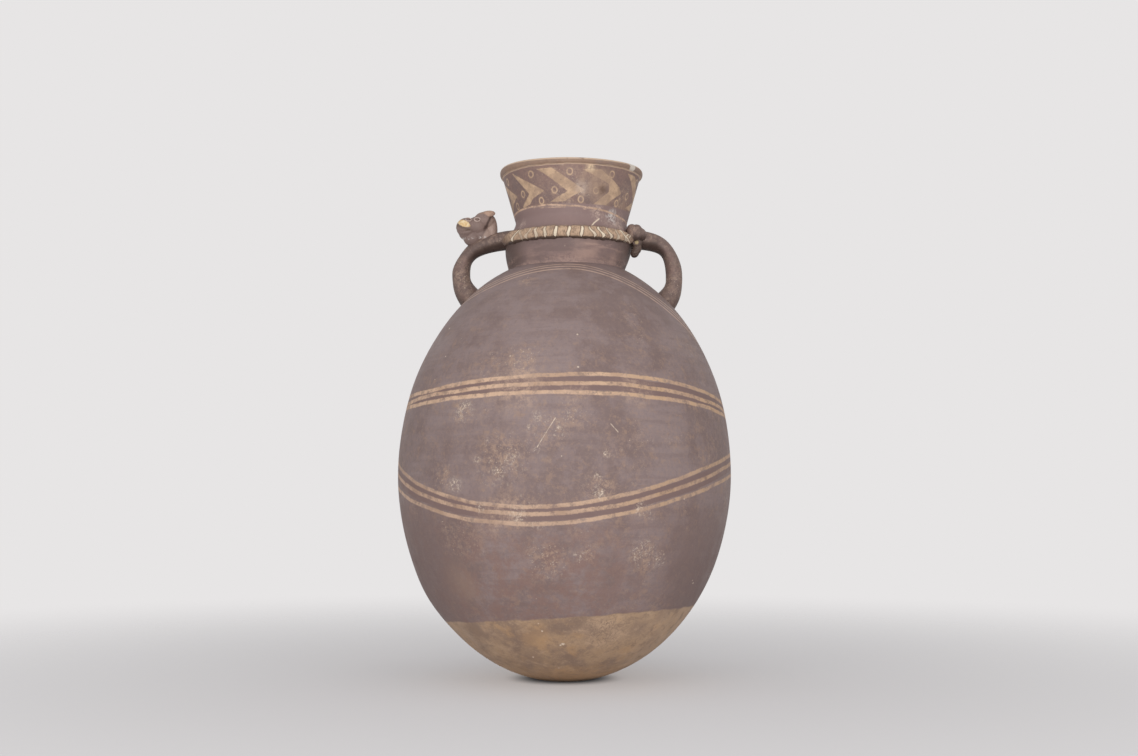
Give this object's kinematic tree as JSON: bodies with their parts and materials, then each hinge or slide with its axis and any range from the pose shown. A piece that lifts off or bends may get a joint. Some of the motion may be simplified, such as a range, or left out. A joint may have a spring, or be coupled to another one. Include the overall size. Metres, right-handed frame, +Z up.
{
  "type": "feline effigy vessel",
  "caption": "Tall ovoid clay jar with a small flat foot, flared painted collar, loop handles and a modelled feline wrapped round its neck.",
  "frame": {"origin": "centre of the small flat foot, on the surface that the jar stands on", "axes": "+Z up along the belly's axis; the feline's head looks along -X; its striped body crosses the neck on the -Y side"},
  "size_m": [0.298, 0.298, 0.4581],
  "materials": {
    "slipped_clay": "matt purple-brown slip, lightly burnished and scratched",
    "dark_slip": "matt dark brown slip, rubbed on the high places",
    "bare_clay": "bare fired clay, matt and slightly pitted",
    "cream_paint": "matt cream slip paint with lighter bars",
    "rim_paint": "worn matt cream slip paint",
    "muzzle_paint": "worn matt cream paint over dark slip"
  },
  "bodies": {
    "root": {"base_bowl": "bare_clay", "lower_wall_coil": "slipped_clay", "belly_lower_coil": "slipped_clay", "belly_upper_coil": "slipped_clay", "upper_wall_coil": "slipped_clay", "shoulder_dome": "slipped_clay", "neck_ring": "slipped_clay", "neck_throat": "slipped_clay", "flared_collar": "slipped_clay", "rim_lip": "rim_paint", "handle_left": "dark_slip", "handle_right": "dark_slip", "feline_body": "cream_paint", "feline_tail": "cream_paint", "feline_haunch": "dark_slip", "feline_hind_paw": "dark_slip", "feline_head": "dark_slip", "feline_muzzle": "muzzle_paint", "feline_ear_near": "dark_slip", "feline_ear_far": "dark_slip", "feline_chest": "dark_slip", "feline_nape": "slipped_clay"}
  },
  "joints": []
}
